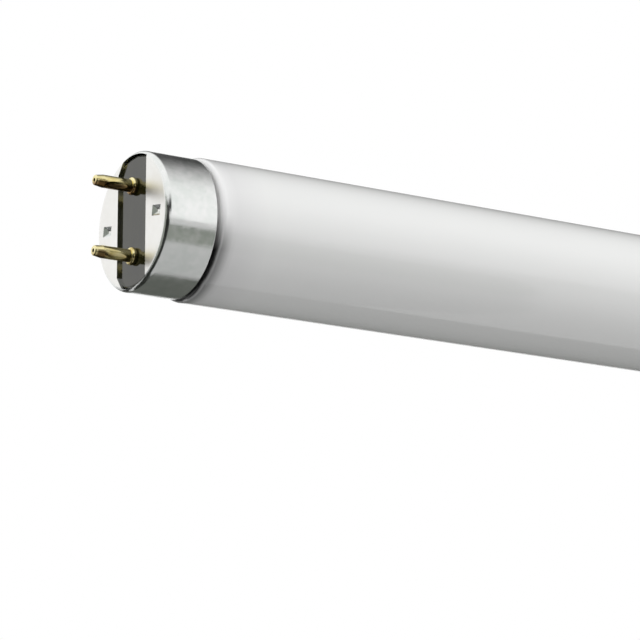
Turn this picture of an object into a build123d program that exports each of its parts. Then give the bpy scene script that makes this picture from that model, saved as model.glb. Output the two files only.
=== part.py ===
from build123d import *
import math
import os

# Fluorescent tube lamp, 26 mm tube with a two-pin G13 cap at each end.
# Frame: millimetres, +X along the tube, +Z along the line through both pins of a cap,
# origin at the middle of the tube's axis. The left end is the one at -X.
# The pieces of an end are drawn with the outer face of the cap at x = 0 and the tube
# towards +X, then placed at both ends. The right end is the left one turned about Z.

# Lamp
face_to_face = 589.0
tube_diameter = 26.0

# Cap shell, drawn from aluminium sheet; its wall stands a small step inside the tube's
cap_step = 0.45
cap_length = 10.1
sheet = 0.55
rim_radius = 1.0
back_edge_radius = 0.15
slot_width = 10.0
slot_corner_across = 1.7
slot_corner_up = 2.3

# Stakes, the two punched dents that lock the insulator plate
stake_offset = 8.7
stake_across = 2.9
stake_up = 1.9
stake_turn = 10.0
stake_floor_share = 0.2
stake_depth = 0.5
stake_floor_thickness = 0.3
stake_clearance = 0.08

# Insulator plate
plate_thickness = 1.6
plate_clearance = 0.1
plate_edge_radius = 0.6

# Contact pins, hollow brass rivets
pin_spacing = 12.7
pin_diameter = 2.3
pin_length = 7.5
pin_bore = 1.3
pin_fit = 0.04
nose_length = 1.6
nose_diameter = 1.8
nose_radius = 0.25
mouth_diameter = 0.7
collar_diameter = 3.2
collar_thickness = 1.0
collar_radius = 0.4
rivet_diameter = 3.8
rivet_thickness = 0.5

# Crimp, a lens-shaped dent in the side of a pin, where the bore grips the lead wire
crimp_from_face = 3.55
crimp_length = 4.2
crimp_die_diameter = 3.2
crimp_depth = 0.25
crimp_turn = 32.0
crimp_grip = 0.03

# Glass bulb: tube, necks, sealed ends and what they enclose, as one sealed body
cement_thickness = 0.6
shoulder_gap = 0.65
shoulder_radius = 1.1
shoulder_root_radius = 0.35
seal_from_plate = 1.1
seal_thickness = 1.6
stem_depth = 11.0
stem_diameter = 8.0
exhaust_diameter = 3.0
exhaust_length = 6.5

# Cement ring
cement_length = 5.6
cement_setback = 0.9
bond_clearance = 0.05

# Lead wires
wire_diameter = 0.5
wire_spacing_at_stem = 5.2
wire_bend_radius = 1.5
wire_straight = 1.4
wire_past_crimp = 0.3

# Sizes that follow from the ones above
tube_radius = tube_diameter / 2
cap_outer = tube_radius - cap_step
cap_inner = cap_outer - sheet
rim_inner_radius = rim_radius - sheet
slot_half = slot_width / 2
pin_height = pin_spacing / 2
pin_radius = pin_diameter / 2
plate_front = sheet
plate_back = plate_front + plate_thickness
plate_radius = cap_inner - plate_clearance
rivet_back = plate_back + rivet_thickness
neck_radius = cap_inner - cement_thickness
seal_start = plate_back + seal_from_plate
stem_end = seal_start + stem_depth
crimp_half = crimp_length / 2
crimp_outer_end = -crimp_from_face - crimp_half
wire_radius = wire_diameter / 2

# Turns in degrees, and how near an edge must lie to count as the one meant
along_x = (0, 90, 0)
half_turn = 180
near = 0.02


def turned(outline):
    """Solid of revolution about X of a closed outline drawn in x and radius."""
    return revolve(make_face(outline), Axis.X)


def outline_through(points):
    """Closed outline of straight runs through points given as x and radius."""
    return Polyline(*points, close=True)


def face_sketch_plane(x):
    """Plane across the lamp at x, with its own X along Y and its own Y along Z."""
    return Plane(origin=(x, 0, 0), x_dir=(0, 1, 0), z_dir=(1, 0, 0))


def slot_outline():
    """Slot of the cap: straight sides, ends on the inner wall, two corners cut off."""
    cut_y = slot_half - slot_corner_across
    reach = math.sqrt(cap_inner**2 - cut_y**2)
    cut_z = reach - slot_corner_up
    side = cap_outer
    strip = Polyline(
        (-slot_half, -side),
        (cut_y, -side),
        (cut_y, -reach),
        (slot_half, -cut_z),
        (slot_half, cut_z),
        (cut_y, reach),
        (cut_y, side),
        (-slot_half, side),
        close=True,
    )
    return make_face(strip) & Circle(cap_inner)


def stake_wedge(start, depth, growth):
    """Four-sided punch mark that narrows from start towards the tube, at one stake."""
    across = stake_across + 2 * growth
    up = stake_up + 2 * growth
    turn = Rot(0, 0, stake_turn)
    mouth = face_sketch_plane(start) * turn * Rectangle(across, up)
    floor_across = across * stake_floor_share
    floor_up = up * stake_floor_share
    floor = face_sketch_plane(start + depth) * turn * Rectangle(floor_across, floor_up)
    return loft([mouth, floor])


def at_stakes(piece):
    """The piece at both stakes, either side of the slot."""
    return [Pos(0, side * stake_offset, 0) * piece for side in (-1, 1)]


def stake_bulge(growth):
    """What a stake pushes out behind the sheet, grown by a clearance."""
    depth = stake_depth + stake_floor_thickness - sheet + growth
    return stake_wedge(sheet, depth, growth)


def cap_shell():
    """Cup with a rounded rim, a slot across its face and the two stakes."""
    blank = turned(outline_through([(0, 0), (0, cap_outer), (cap_length, cap_outer), (cap_length, 0)]))
    rim = blank.edges().filter_by(GeomType.CIRCLE).sort_by(Axis.X)[0]
    blank = fillet(rim, rim_radius)
    hollow = turned(
        outline_through([(sheet, 0), (sheet, cap_inner), (cap_length, cap_inner), (cap_length, 0)])
    )
    corner = hollow.edges().filter_by(GeomType.CIRCLE).sort_by(Axis.X)[0]
    hollow = fillet(corner, rim_inner_radius)
    shell = blank - hollow
    back = shell.edges().filter_by(GeomType.CIRCLE).sort_by(Axis.X)[-2:]
    shell = fillet(back, back_edge_radius)
    slot_depth = sheet + rim_inner_radius
    shell -= extrude(face_sketch_plane(0) * slot_outline(), slot_depth)
    for bulge in at_stakes(stake_bulge(0)):
        shell += bulge
    for dent in at_stakes(stake_wedge(0, stake_depth, 0)):
        shell -= dent
    return shell


def insulator_plate():
    """Disc behind the face of the cap, with its pin holes and stake pockets."""
    disc = Pos(plate_front, 0, 0) * turned(
        outline_through([(0, 0), (0, plate_radius), (plate_thickness, plate_radius), (plate_thickness, 0)])
    )
    front_edge = disc.edges().filter_by(GeomType.CIRCLE).sort_by(Axis.X)[0]
    disc = fillet(front_edge, plate_edge_radius)
    hole = Cylinder(pin_radius + pin_fit, 2 * rivet_back, rotation=along_x)
    for side in (-1, 1):
        disc -= Pos(0, 0, side * pin_height) * hole
    for pocket in at_stakes(stake_bulge(stake_clearance)):
        disc -= pocket
    return disc


def crimp_die():
    """Spindle that leaves a dent of the crimp's length and depth in the side of a pin."""
    die_radius = crimp_die_diameter / 2
    bow_radius = (crimp_half**2 + crimp_depth**2) / (2 * crimp_depth)
    spindle_half = math.sqrt(die_radius * (2 * bow_radius - die_radius))
    ends = ((-spindle_half, 0), (spindle_half, 0))
    edge = ThreePointArc(ends[0], (0, die_radius), ends[1])
    spindle = turned(edge + Line(*ends))
    centre_out = pin_radius + die_radius - crimp_depth
    return Pos(-crimp_from_face, -centre_out, 0) * spindle


def contact_pin():
    """Hollow pin on the X axis: nose, body, collar, shank and rivet roll."""
    tip = -pin_length
    collar_front = plate_front - collar_thickness
    collar = collar_diameter / 2
    rivet = rivet_diameter / 2
    bore = pin_bore / 2
    grip = wire_radius + crimp_grip
    mouth = mouth_diameter / 2
    taper = bore - grip
    crimp_inner_end = -crimp_from_face + crimp_half
    body = turned(
        outline_through(
            [
                (tip, mouth),
                (tip, nose_diameter / 2),
                (tip + nose_length, pin_radius),
                (collar_front, pin_radius),
                (collar_front, collar),
                (plate_front, collar),
                (plate_front, pin_radius),
                (plate_back, pin_radius),
                (plate_back, rivet),
                (rivet_back, rivet),
                (rivet_back, bore),
                (crimp_inner_end + taper, bore),
                (crimp_inner_end, grip),
                (crimp_outer_end, grip),
                (crimp_outer_end - (mouth - grip), mouth),
            ]
        )
    )
    rings = body.edges().filter_by(GeomType.CIRCLE)
    nose_edge = rings.filter_by_position(Axis.X, tip, tip).sort_by(SortBy.RADIUS)[-1]
    body = fillet(nose_edge, nose_radius)
    rings = body.edges().filter_by(GeomType.CIRCLE)
    collar_edges = [ring for ring in rings if abs(ring.radius - collar) < near]
    body = fillet(collar_edges, collar_radius)
    return body - Rot(crimp_turn, 0, 0) * crimp_die()


def lead_wire():
    """Wire from the crimp of the upper pin, through its bore, to the glass stem."""
    outer_end = crimp_outer_end - wire_past_crimp
    stem_height = wire_spacing_at_stem / 2
    bend_start = rivet_back + wire_bend_radius
    path = FilletPolyline(
        (outer_end, 0, pin_height),
        (bend_start, 0, pin_height),
        (stem_end - wire_straight, 0, stem_height),
        (stem_end, 0, stem_height),
        radius=wire_bend_radius,
    )
    section = Plane(origin=path @ 0, z_dir=path % 0) * Circle(wire_radius)
    return sweep(section, path=path)


def glass_end():
    """What is taken off the end of the glass bar: outside the neck, and the stem funnel."""
    shoulder_foot = cap_length + shoulder_gap
    seal_inner = neck_radius - seal_thickness
    seal_round = seal_thickness / 2
    stem_radius = stem_diameter / 2
    exhaust = exhaust_diameter / 2
    exhaust_tip = stem_end - exhaust_length
    outside = turned(
        outline_through(
            [
                (0, neck_radius),
                (0, tube_radius + cap_outer),
                (shoulder_foot, tube_radius + cap_outer),
                (shoulder_foot, neck_radius),
            ]
        )
    )
    flare_top = (seal_start + seal_round, seal_inner)
    flare_foot = (stem_end, stem_radius)
    flare = TangentArc(flare_top, flare_foot, tangent=(1, 0))
    rim = ThreePointArc(
        (seal_start + seal_round, neck_radius),
        (seal_start, neck_radius - seal_round),
        flare_top,
    )
    tip = ThreePointArc(
        (exhaust_tip + exhaust, exhaust),
        (exhaust_tip + exhaust * (1 - math.sqrt(0.5)), exhaust * math.sqrt(0.5)),
        (exhaust_tip, 0),
    )
    rest = Polyline(
        flare_foot,
        (stem_end, exhaust),
        (exhaust_tip + exhaust, exhaust),
    )
    back = Polyline(
        (exhaust_tip, 0),
        (-cap_length, 0),
        (-cap_length, neck_radius),
        (seal_start + seal_round, neck_radius),
    )
    funnel = turned(rim + flare + rest + tip + back)
    return outside + funnel


def glass_tube():
    """The sealed bulb from seal to seal."""
    bar = Cylinder(tube_radius, face_to_face, rotation=along_x)
    for end in (-1, 1):
        bar -= placed(glass_end(), end)
    foot = face_to_face / 2 - cap_length - shoulder_gap
    rings = bar.edges().filter_by(GeomType.CIRCLE)
    shoulders = [
        ring
        for ring in rings
        if abs(ring.radius - tube_radius) < near
        and abs(abs(ring.arc_center.X) - foot) < near
    ]
    bar = fillet(shoulders, shoulder_radius)
    rings = bar.edges().filter_by(GeomType.CIRCLE)
    roots = [
        ring
        for ring in rings
        if abs(ring.radius - neck_radius) < near
        and abs(abs(ring.arc_center.X) - foot) < near
    ]
    return fillet(roots, shoulder_root_radius)


def cement_ring():
    """Basing cement between the neck of the glass and the wall of the cap."""
    back = cap_length - cement_setback
    front = back - cement_length
    inner = neck_radius + bond_clearance
    outer = cap_inner - bond_clearance
    return turned(outline_through([(front, inner), (front, outer), (back, outer), (back, inner)]))


def placed(piece, end):
    """The piece at the left end of the lamp (-1) or turned to the right end (1)."""
    if end < 0:
        return Pos(-face_to_face / 2, 0, 0) * piece
    return Pos(face_to_face / 2, 0, 0) * Rot(0, 0, half_turn) * piece


def pair_about_axis(piece):
    """The upper piece and its lower twin, half a turn about the lamp's axis."""
    return {"upper": piece, "lower": Rot(half_turn, 0, 0) * piece}


def build():
    """Every solid of the lamp by name."""
    pieces = {"glass_tube": glass_tube()}
    upper_pin = Pos(0, 0, pin_height) * contact_pin()
    lower_pin = Pos(0, 0, -pin_height) * contact_pin()
    wires = pair_about_axis(lead_wire())
    for name, end in (("left", -1), ("right", 1)):
        pieces[f"{name}_cap_shell"] = placed(cap_shell(), end)
        pieces[f"{name}_insulator_plate"] = placed(insulator_plate(), end)
        pieces[f"{name}_cement_ring"] = placed(cement_ring(), end)
        pieces[f"{name}_upper_pin"] = placed(upper_pin, end)
        pieces[f"{name}_lower_pin"] = placed(lower_pin, end)
        for level, wire in wires.items():
            pieces[f"{name}_{level}_lead_wire"] = placed(wire, end)
    return pieces


os.makedirs("parts", exist_ok=True)
for node, solid in build().items():
    export_step(solid, f"parts/{node}.step")
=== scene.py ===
import math

import bpy
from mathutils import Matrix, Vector


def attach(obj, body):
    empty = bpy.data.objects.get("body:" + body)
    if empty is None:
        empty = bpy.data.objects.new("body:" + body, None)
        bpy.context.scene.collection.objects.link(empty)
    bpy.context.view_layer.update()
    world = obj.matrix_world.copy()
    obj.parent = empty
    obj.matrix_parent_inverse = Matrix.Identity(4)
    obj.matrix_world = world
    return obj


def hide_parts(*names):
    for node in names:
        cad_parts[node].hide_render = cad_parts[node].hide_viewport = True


# Looks of a fluorescent tube lamp. Blender's lengths are metres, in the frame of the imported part:
# +X along the tube, +Z along the line through the pins of a cap, the photographed end at -X.

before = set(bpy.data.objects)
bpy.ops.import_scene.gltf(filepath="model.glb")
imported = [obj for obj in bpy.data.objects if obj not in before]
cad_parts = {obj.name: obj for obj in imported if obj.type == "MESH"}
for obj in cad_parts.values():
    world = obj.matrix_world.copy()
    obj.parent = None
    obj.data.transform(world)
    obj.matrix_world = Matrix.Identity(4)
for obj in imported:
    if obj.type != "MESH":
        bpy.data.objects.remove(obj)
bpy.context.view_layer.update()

MM = 0.001
WHITE = (1, 1, 1)

# Sizes of the bulb in millimetres, as in the part. FACE is how far a cap's outer face lies from
# the origin, and each x is counted from there. The wall is drawn a hair thinner, so that its
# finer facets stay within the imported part's.
FACE = 294.5
FACET_ROOM = 0.037
TUBE_RADIUS = 13.0 - FACET_ROOM
NECK_RADIUS = 11.4
SHOULDER_FOOT = 10.75
SHOULDER_RADIUS = 1.1
ROOT_RADIUS = 0.35
SEAL_START = 3.25
SEAL_ROUND = 0.8
STEM_END = 14.25
STEM_RADIUS = 4.0
STEM_EDGE = 0.2
EXHAUST_RADIUS = 1.5
EXHAUST_TIP = 7.75
AROUND = 256
ARC_STEPS = 14

# Where the coating starts and where it is full, in millimetres from a cap's outer face
COAT_FROM = 10.5
COAT_FULL = 20.5

# Height of a pin's axis, and the two ends of the painted shade under its nose, in millimetres from
# the origin
PIN_HEIGHT = 6.35
NOSE_FROM = (299.4, 300.2)
NOSE_TO = (301.4, 301.7)

# View of the photograph, angles in degrees
CAMERA_PLACE = (-0.57718, -0.50689, -0.15860)
CAMERA_AZIMUTH = 32.403
CAMERA_LIFT = 13.658
SENSOR = 36.0
LENS = 193.24
CLIP_START = 0.01

# Floor: its grey as seen, and for the light that it throws up
FLOOR_HEIGHT = -0.30
FLOOR_HALF = 30.0
FLOOR_SEEN = 0.78
FLOOR_BOUNCE = 0.47

# Studio cards, and the edges that they share
CARD_HEIGHT = FLOOR_HEIGHT + 0.005
CARD_TOP = 0.25
CARD_TINT = (0.98, 1.04, 0.94)
BLACK = 0.03
FAR = 3
ALONG_TUBE = 0.045
LEFT_BEHIND = -0.25
LEFT_BEFORE = -0.42
BEFORE_SPLIT = -0.37
SLANT_AT_SPLIT = 0.07
SIDE_X = -0.9
SIDE_SPLIT = -0.15

# Grey of the sky by its angle in degrees from straight behind (+Y), over the top or underneath,
# to straight before (-Y). The right sky is at +X. A white band lies along the horizon.
HALF_TURN = 180
RIGHT_SKY = [
    (0, 1.0), (26, 1.0), (31, 0.10), (50, 0.06), (68, 0.16), (80, 0.30), (92, 0.46), (108, 0.70),
    (124, 0.94), (134, 1.0),
]
LEFT_SKY = [(0, 1.0), (144, 1.0), (158, 0.05), (180, 0.05)]
SKY_SIDES = (0.06, 0.34)
HORIZON_BAND = (0.10, 0.13)

LAMP_PLACE = (0.1, -0.8, 0.8)
LAMP_SIZE = 0.9
LAMP_WATTS = 5.2


# Node helpers

def add(tree, kind, inputs=None, **settings):
    """A new node. Its inputs are given as values, or as sockets to link."""
    made = tree.nodes.new(kind)
    for name, value in settings.items():
        setattr(made, name, value)
    for name, value in (inputs or {}).items():
        if isinstance(value, bpy.types.NodeSocket):
            tree.links.new(value, made.inputs[name])
        else:
            made.inputs[name].default_value = value
    return made


def maths(tree, operation, *values):
    """Output of a Math node."""
    made = add(tree, "ShaderNodeMath", dict(enumerate(values)), operation=operation)
    return made.outputs[0]


def parts_of(tree, vector):
    """The x, y and z outputs of a vector."""
    return add(tree, "ShaderNodeSeparateXYZ", {0: vector}).outputs


def ramp(tree, factor, stops):
    """Colour output of a ramp with the given (place, grey or colour) stops, in rising order."""
    made = add(tree, "ShaderNodeValToRGB", {0: factor})
    elements = made.color_ramp.elements
    for place, colour in stops[2:]:
        elements.new(place)
    for element, (place, colour) in zip(elements, stops):
        element.position = place
        if isinstance(colour, (int, float)):
            colour = (colour,) * 3
        element.color = (*colour, 1)
    return made.outputs[0]


def spread(tree, factor, low, high, start=0.0, end=1.0):
    """Maps start..end to low..high, and keeps to that range."""
    made = add(
        tree, "ShaderNodeMapRange",
        {"Value": factor, "From Min": start, "From Max": end, "To Min": low, "To Max": high},
    )
    return made.outputs[0]


def noise(tree, place, scale, detail, stretch=(1, 1, 1), seed=(0, 0, 0)):
    """Noise of so many features a metre, stretched along the axes."""
    moved = add(tree, "ShaderNodeMapping", {"Vector": place, "Scale": stretch, "Location": seed})
    made = add(
        tree, "ShaderNodeTexNoise",
        {"Vector": moved.outputs[0], "Scale": scale, "Detail": detail},
    )
    return made.outputs["Fac"]


def mixed(tree, factor, first, second):
    """Colour between two, by a factor. A Mix node's colours are its sockets 6 and 7."""
    made = add(tree, "ShaderNodeMix", {0: factor, 6: first, 7: second}, data_type="RGBA")
    return made.outputs[2]


def between(tree, factor, first, second):
    """Number between two, by a factor. A Mix node's numbers are its sockets 2 and 3."""
    return add(tree, "ShaderNodeMix", {0: factor, 2: first, 3: second}).outputs[0]


def bump(tree, height, depth):
    """Bump of a depth in millimetres."""
    made = add(tree, "ShaderNodeBump", {"Height": height, "Distance": depth * MM, "Strength": 1.0})
    return made.outputs[0]


def finish_named(name, **fixed):
    """A material with its shader and place in the object's frame."""
    made = bpy.data.materials.new(name)
    made.use_nodes = True
    tree = made.node_tree
    shader = tree.nodes["Principled BSDF"]
    for socket, value in fixed.items():
        shader.inputs[socket.replace("_", " ")].default_value = value
    place = add(tree, "ShaderNodeTexCoord").outputs["Object"]
    return made, tree, shader, place


def feed(tree, shader, **links):
    """Links outputs to the shader's sockets."""
    for socket, output in links.items():
        tree.links.new(output, shader.inputs[socket.replace("_", " ")])


# Materials

def aluminium():
    """Drawn sheet: satin wall with faint drawing lines and a light mottle, duller pressed face."""
    made, tree, shader, place = finish_named("satin_aluminium", Metallic=1.0)
    mottle = noise(tree, place, 700, 4)
    patches = noise(tree, place, 180, 2, seed=(3, 1, 2))
    lines = noise(tree, place, 1200, 3, stretch=(0.08, 1, 1))
    normal = add(tree, "ShaderNodeTexCoord").outputs["Normal"]
    facing_end = maths(tree, "ABSOLUTE", parts_of(tree, normal)[0])
    face = spread(tree, facing_end, 0, 1, start=0.93, end=0.995)
    tone = maths(tree, "MULTIPLY", maths(tree, "ADD", mottle, patches), 0.5)
    wall = ramp(tree, tone, [(0.36, (0.76, 0.79, 0.765)), (0.63, (0.905, 0.908, 0.898))])
    pressed = ramp(tree, tone, [(0.35, (0.89, 0.88, 0.85)), (0.65, (0.93, 0.925, 0.90))])
    colour = mixed(tree, face, wall, pressed)
    wall_rough = spread(tree, mottle, 0.10, 0.22, start=0.3, end=0.7)
    wall_rough = maths(tree, "ADD", wall_rough, spread(tree, lines, -0.02, 0.04))
    pressed_rough = 0.36
    rough = between(tree, face, wall_rough, pressed_rough)
    height = maths(tree, "ADD", lines, maths(tree, "MULTIPLY", patches, 0.8))
    feed(tree, shader, Base_Color=colour, Roughness=rough, Normal=bump(tree, height, 0.015))
    return made


def phenolic():
    """Near black pressed board, polished, with faint fibres."""
    made, tree, shader, place = finish_named("phenolic_board", IOR=1.7)
    fibres = noise(tree, place, 900, 5, stretch=(1, 1, 0.35))
    clouds = noise(tree, place, 200, 2, seed=(1, 4, 2))
    colour = ramp(tree, fibres, [(0.3, (0.011, 0.011, 0.003)), (0.7, (0.022, 0.022, 0.006))])
    rough = spread(tree, clouds, 0.06, 0.14)
    feed(tree, shader, Base_Color=colour, Roughness=rough, Normal=bump(tree, fibres, 0.003))
    return made


def brass():
    """Bright brass with a random tone, with painted shade on the underside of each pin and darker
    painted shade under its nose.
    """
    made, tree, shader, place = finish_named("pin_brass", Metallic=1.0)
    tarnish_and_shade_edge = noise(tree, place, 900, 4, stretch=(0.5, 1, 1))
    rings = noise(tree, place, 5000, 2, stretch=(1, 0.15, 0.15))
    x, _, z = parts_of(tree, place)

    # Height over the pin's own axis, with a wavy edge to the painted shade that depends on it
    upper_or_lower = maths(tree, "SIGN", z)
    axis_height = maths(tree, "MULTIPLY", upper_or_lower, PIN_HEIGHT * MM)
    over_axis = maths(tree, "SUBTRACT", z, axis_height)
    wavy = maths(tree, "ADD", over_axis, spread(tree, tarnish_and_shade_edge, 0.4 * MM, -0.4 * MM))

    # Painted shade: each pin's underside is coloured dark brown, more strongly on the upper pin
    # than on the lower one
    under = spread(tree, wavy, 1, 0, start=-0.5 * MM, end=-0.1 * MM)
    strength = spread(tree, upper_or_lower, 0.35, 0.85, start=-1.0)
    painted_underside_shade = maths(tree, "MULTIPLY", under, strength)
    underside_shade_brown = (0.20, 0.095, 0.035, 1)

    # Painted shade: below the axis, the nose of each pin is coloured a darker brown
    along = maths(tree, "ABSOLUTE", x)
    nose_start, nose_full = [mm * MM for mm in NOSE_FROM]
    mouth_start, mouth_full = [mm * MM for mm in NOSE_TO]
    at_nose = spread(tree, along, 0, 0.9, start=nose_start, end=nose_full)
    off_mouth = spread(tree, along, 1, 0, start=mouth_start, end=mouth_full)
    below = spread(tree, wavy, 1, 0, start=-0.2 * MM, end=0.1 * MM)
    painted_nose_shade = maths(tree, "MULTIPLY", maths(tree, "MULTIPLY", at_nose, off_mouth), below)
    nose_shade_brown = (0.10, 0.055, 0.018, 1)

    clean = ramp(
        tree, tarnish_and_shade_edge,
        [(0.3, (0.67, 0.53, 0.20)), (0.5, (0.86, 0.755, 0.375)), (0.75, (0.95, 0.88, 0.55))],
    )
    colour = mixed(tree, painted_nose_shade, mixed(tree, painted_underside_shade, clean, underside_shade_brown), nose_shade_brown)
    rough = maths(tree, "ADD", spread(tree, tarnish_and_shade_edge, 0.22, 0.10), spread(tree, rings, -0.02, 0.04))
    feed(tree, shader, Base_Color=colour, Roughness=rough, Normal=bump(tree, rings, 0.003))
    return made


def cement():
    """Baked basing cement: matt, grainy, with small pits; its near black is partly painted shade
    for the groove behind the cap.
    """
    made, tree, shader, place = finish_named("basing_cement", Roughness=0.9)
    grain = noise(tree, place, 3500, 5)
    pits = noise(tree, place, 900, 2, seed=(2, 2, 5))
    # Partly painted shade: the cement is coloured near black so that the groove behind the cap
    # reads dark
    colour = ramp(tree, grain, [(0.3, (0.05, 0.042, 0.034)), (0.7, (0.10, 0.085, 0.07))])
    height = maths(tree, "ADD", grain, ramp(tree, pits, [(0.4, 0), (0.55, 1)]))
    feed(tree, shader, Base_Color=colour, Normal=bump(tree, height, 0.06))
    return made


def wire():
    """Drawn lead wire with a dull nickel skin."""
    made, tree, shader, place = finish_named("lead_wire", Metallic=1.0)
    lines = noise(tree, place, 4000, 3, stretch=(0.05, 1, 1))
    colour = ramp(tree, lines, [(0.3, (0.50, 0.48, 0.45)), (0.7, (0.68, 0.66, 0.62))])
    feed(tree, shader, Base_Color=colour, Roughness=spread(tree, lines, 0.28, 0.42))
    return made


def coat_stops(*stops):
    """Stops of a ramp over the coat's start, from (mm from the cap's face, grey) pairs."""
    full = (COAT_FULL, (0.865, 0.87, 0.86))
    return [((mm - COAT_FROM) / (COAT_FULL - COAT_FROM), grey) for mm, grey in (*stops, full)]


def coated_glass():
    """Clear glass over a matt white coat, which starts raggedly in the groove behind a cap.

    Near the cap, the coat is coloured dark on the lower half of the tube, as painted shade with a
    painted highlight line on the shoulder, and white on the upper half, as painted light.
    """
    made, tree, shader, place = finish_named(
        "coated_glass", Coat_Weight=1.0, Coat_Roughness=0.04, Coat_IOR=1.67, Roughness=0.3,
        IOR=1.3,
    )
    x, _, z = parts_of(tree, place)
    from_face = maths(tree, "SUBTRACT", FACE * MM, maths(tree, "ABSOLUTE", x))
    wave = noise(tree, place, 140, 2, seed=(1, 3, 2))
    ragged = maths(tree, "ADD", from_face, spread(tree, wave, -0.3 * MM, 0.3 * MM))
    along = spread(tree, ragged, 0, 1, start=COAT_FROM * MM, end=COAT_FULL * MM)
    # Painted light and shade: near the cap, the upper half of the tube gets a lighter coat colour
    # than the lower half
    painted_light_share = spread(tree, z, 0, 1, start=-6.0 * MM, end=0.0)
    cloud = noise(tree, place, 60, 3, stretch=(0.3, 1, 1))
    grain = noise(tree, place, 2500, 3, seed=(5, 2, 1))
    # Painted shade on the lower half: dark at the groove, then a painted highlight line at 11.26
    # mm, then a dim band out to 14 mm
    painted_shade_coat = ramp(tree, along, coat_stops(
        (10.97, 0.03), (11.14, 0.33), (11.26, 0.46), (11.5, 0.28), (11.9, 0.33), (12.5, 0.50),
        (13.3, 0.70), (14.2, 0.775),
    ))
    # Painted light on the upper half: whiter than the full coat, most of all at 11.4 mm
    painted_light_coat = ramp(tree, along, coat_stops(
        (10.9, 0.88), (11.4, 0.92), (12.6, 0.85), (14.2, 0.81),
    ))
    coat = mixed(tree, painted_light_share, painted_shade_coat, painted_light_coat)
    patchy = maths(tree, "ADD", cloud, maths(tree, "MULTIPLY", grain, 0.15))
    patchy = spread(tree, patchy, 0.965, 1.01)
    product = add(tree, "ShaderNodeVectorMath", {0: coat, 1: patchy}, operation="MULTIPLY")
    feed(tree, shader, Base_Color=product.outputs[0], Normal=bump(tree, cloud, 0.04))
    return made


# Bulb

def arc(centre, radius, start, end):
    """Points of an arc from one angle to another, in degrees."""
    turns = [start + (end - start) * step / ARC_STEPS for step in range(ARC_STEPS + 1)]
    angles = [math.radians(turn) for turn in turns]
    return [(centre[0] + radius * math.cos(a), centre[1] + radius * math.sin(a)) for a in angles]


def bulb_end():
    """Profile of one end of the bulb as x from the cap's face and radius, from its axis out."""
    seal_inner = NECK_RADIUS - 2 * SEAL_ROUND
    seal_middle = SEAL_START + SEAL_ROUND
    run = STEM_END - seal_middle
    drop = seal_inner - STEM_RADIUS
    flare = (run**2 + drop**2) / (2 * drop)
    flare_turn = math.degrees(math.asin(run / flare))
    points = arc((EXHAUST_TIP + EXHAUST_RADIUS, 0), EXHAUST_RADIUS, 180, 90)
    points += [
        (STEM_END - STEM_EDGE, EXHAUST_RADIUS),
        (STEM_END, EXHAUST_RADIUS + STEM_EDGE),
        (STEM_END, STEM_RADIUS),
    ]
    points += arc((seal_middle, seal_inner - flare), flare, 90 - flare_turn, 90)
    points += arc((seal_middle, seal_inner + SEAL_ROUND), SEAL_ROUND, 270, 90)
    root = (SHOULDER_FOOT - ROOT_RADIUS, NECK_RADIUS + ROOT_RADIUS)
    points += arc(root, ROOT_RADIUS, 270, 360)
    crown = (SHOULDER_FOOT + SHOULDER_RADIUS, TUBE_RADIUS - SHOULDER_RADIUS)
    points += arc(crown, SHOULDER_RADIUS, 180, 90)
    return points


def turned(name, profile):
    """Object of a profile of (x, radius) points in mm turned about X, closed at both ends."""
    verts = [(profile[0][0] * MM, 0, 0)]
    inner = profile[1:-1]
    for x, radius in inner:
        for i in range(AROUND):
            a = 2 * math.pi * i / AROUND
            verts.append((x * MM, -radius * MM * math.cos(a), radius * MM * math.sin(a)))
    verts.append((profile[-1][0] * MM, 0, 0))
    last = len(verts) - 1
    last_ring = last - AROUND
    faces = []
    for i in range(AROUND):
        j = (i + 1) % AROUND
        faces.append((0, 1 + i, 1 + j))
        for ring in range(len(inner) - 1):
            near = 1 + ring * AROUND
            far = near + AROUND
            faces.append((near + i, far + i, far + j, near + j))
        faces.append((last_ring + i, last, last_ring + j))
    mesh = bpy.data.meshes.new(name)
    mesh.from_pydata(verts, [], faces)
    mesh.validate()
    mesh.update()
    made = bpy.data.objects.new(name, mesh)
    bpy.context.collection.objects.link(made)
    mesh.shade_smooth()
    return made


left = [(x - FACE, radius) for x, radius in bulb_end()]
right = [(-x, radius) for x, radius in reversed(left)]
bulb = turned("coated_bulb", left + right)
bulb.data.materials.append(coated_glass())
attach(bulb, "root")
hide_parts("glass_tube")

# The CAD pieces keep their shapes and get their looks by the ending of their names
looks = {
    "cap_shell": aluminium(),
    "insulator_plate": phenolic(),
    "pin": brass(),
    "cement_ring": cement(),
    "lead_wire": wire(),
}
for name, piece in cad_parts.items():
    for ending, look in looks.items():
        if name.endswith(ending):
            for part_slot in piece.material_slots:
                part_slot.material = look


# Studio

def matt_paint(name, grey, tint):
    """Material of the floor and the cards."""
    made = bpy.data.materials.new(name)
    made.use_nodes = True
    shader = made.node_tree.nodes["Principled BSDF"]
    shader.inputs["Base Color"].default_value = (*[grey * share for share in tint], 1)
    shader.inputs["Roughness"].default_value = 0.9
    shader.inputs["Specular IOR Level"].default_value = 0.0
    return made


def panel(name, corners, grey, tint=WHITE):
    """A flat sheet of the studio."""
    mesh = bpy.data.meshes.new(name)
    mesh.from_pydata(corners, [], [(0, 1, 2, 3)])
    made = bpy.data.objects.new(name, mesh)
    bpy.context.collection.objects.link(made)
    mesh.materials.append(matt_paint(name, grey, tint))
    return made


def level(x_from, x_to, y_from, y_to, z=CARD_HEIGHT):
    """Corners of a level rectangle."""
    return slanted(x_from, x_to, x_to, y_from, y_to, z)


def slanted(x_from, x_near, x_far, y_from, y_to, z=CARD_HEIGHT):
    """Corners of a level sheet whose right side runs from x_near at y_from to x_far at y_to."""
    return [(x_from, y_from, z), (x_near, y_from, z), (x_far, y_to, z), (x_from, y_to, z)]


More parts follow.
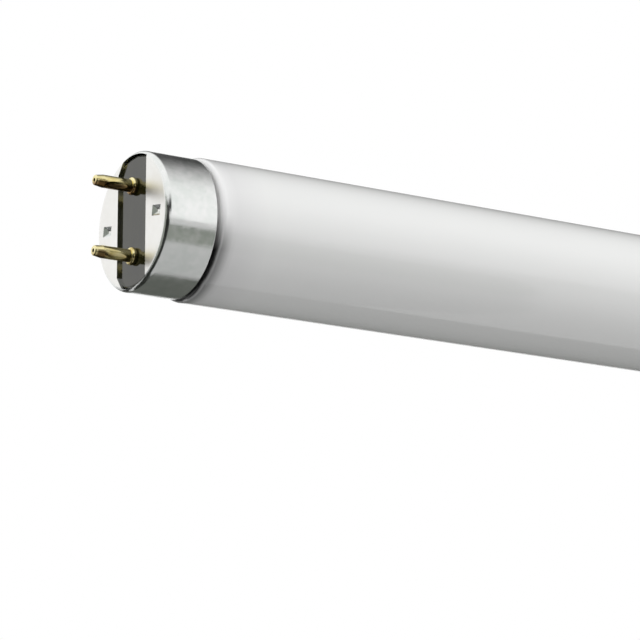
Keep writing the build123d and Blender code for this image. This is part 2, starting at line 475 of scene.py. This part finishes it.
def upright(x, y_from, y_to):
    """Corners of a sheet that stands across the X axis, left of the camera."""
    low, top = CARD_HEIGHT, CARD_TOP
    return [(x, y_from, low), (x, y_to, low), (x, y_to, top), (x, y_from, top)]


def card(name, corners, grey, tint=CARD_TINT):
    """A card that only shows in the metal and the glass, as a photographer's black card does."""
    made = panel(name, corners, grey, tint)
    made.visible_camera = False
    made.visible_diffuse = False
    made.visible_shadow = False


def pale_floor():
    """Pale paper, as the camera, the metal and the glass see it; what it throws up is dimmer."""
    whole = level(-FLOOR_HALF, FLOOR_HALF, -FLOOR_HALF, FLOOR_HALF, FLOOR_HEIGHT)
    made = panel("floor", whole, FLOOR_SEEN)
    tree = made.data.materials[0].node_tree
    path = add(tree, "ShaderNodeLightPath").outputs
    seen = maths(tree, "MAXIMUM", path["Is Camera Ray"], path["Is Glossy Ray"])
    seen = maths(tree, "MAXIMUM", seen, path["Is Transmission Ray"])
    dim, bright = [(grey, grey, grey, 1) for grey in (FLOOR_BOUNCE, FLOOR_SEEN)]
    feed(tree, tree.nodes["Principled BSDF"], Base_Color=mixed(tree, seen, dim, bright))


pale_floor()
card("card_behind", level(LEFT_BEHIND, FAR, ALONG_TUBE, FAR), 0.13)
card("card_left_near", level(-FAR, LEFT_BEHIND, ALONG_TUBE, 0.42), BLACK)
card("card_left_far", level(-FAR, LEFT_BEHIND, 0.59, 1.3), BLACK)
card("card_before_far", slanted(LEFT_BEFORE, 0.72, SLANT_AT_SPLIT, -1.5, BEFORE_SPLIT), 0.25)
near_sheet = slanted(LEFT_BEFORE, SLANT_AT_SPLIT, -0.09, BEFORE_SPLIT, ALONG_TUBE)
card("card_before", near_sheet, 0.50, WHITE)
card("card_left", level(-FAR, LEFT_BEFORE, -FAR, ALONG_TUBE), BLACK)
card("card_side", upright(SIDE_X, -1.5, SIDE_SPLIT), BLACK)
card("card_side_grey", upright(SIDE_X, SIDE_SPLIT, 0.3), 0.42)


# World

def sky_ramp(tree, turn, stops):
    """Ramp over half a turn, from (degrees, grey) stops."""
    return ramp(tree, turn, [(angle / HALF_TURN, grey) for angle, grey in stops])


world = bpy.data.worlds.new("studio")
bpy.context.scene.world = world
world.use_nodes = True
sky = world.node_tree
x, y, z = parts_of(sky, add(sky, "ShaderNodeTexCoord").outputs["Generated"])
about = maths(sky, "ARCTAN2", z, y)
turn = maths(sky, "DIVIDE", maths(sky, "ABSOLUTE", about), math.pi)
right_share = spread(sky, x, 0, 1, start=SKY_SIDES[0], end=SKY_SIDES[1])
left_sky = sky_ramp(sky, turn, LEFT_SKY)
right_sky = sky_ramp(sky, turn, RIGHT_SKY)
both = mixed(sky, right_share, left_sky, right_sky)
height = maths(sky, "ABSOLUTE", z)
at_horizon = spread(sky, height, 1, 0, start=HORIZON_BAND[0], end=HORIZON_BAND[1])
banded = mixed(sky, at_horizon, both, (*WHITE, 1))
sky.links.new(banded, sky.nodes["Background"].inputs[0])

# Lamp
lamp_data = bpy.data.lights.new("softbox", "AREA")
lamp_data.size = LAMP_SIZE
lamp_data.energy = LAMP_WATTS
lamp = bpy.data.objects.new("softbox", lamp_data)
lamp.location = LAMP_PLACE
lamp.rotation_euler = (-lamp.location).to_track_quat("-Z", "Y").to_euler()
lamp.visible_glossy = False
bpy.context.collection.objects.link(lamp)

# Camera
azimuth = math.radians(CAMERA_AZIMUTH)
lift = math.radians(CAMERA_LIFT)
forward = Vector((
    math.sin(azimuth) * math.cos(lift),
    math.cos(azimuth) * math.cos(lift),
    math.sin(lift),
))
camera_data = bpy.data.cameras.new("camera")
camera_data.sensor_width = SENSOR
camera_data.lens = LENS
camera_data.clip_start = CLIP_START
camera = bpy.data.objects.new("camera", camera_data)
camera.location = CAMERA_PLACE
camera.rotation_euler = forward.to_track_quat("-Z", "Y").to_euler()
bpy.context.collection.objects.link(camera)
bpy.context.scene.camera = camera
bpy.context.scene.view_settings.view_transform = "Standard"
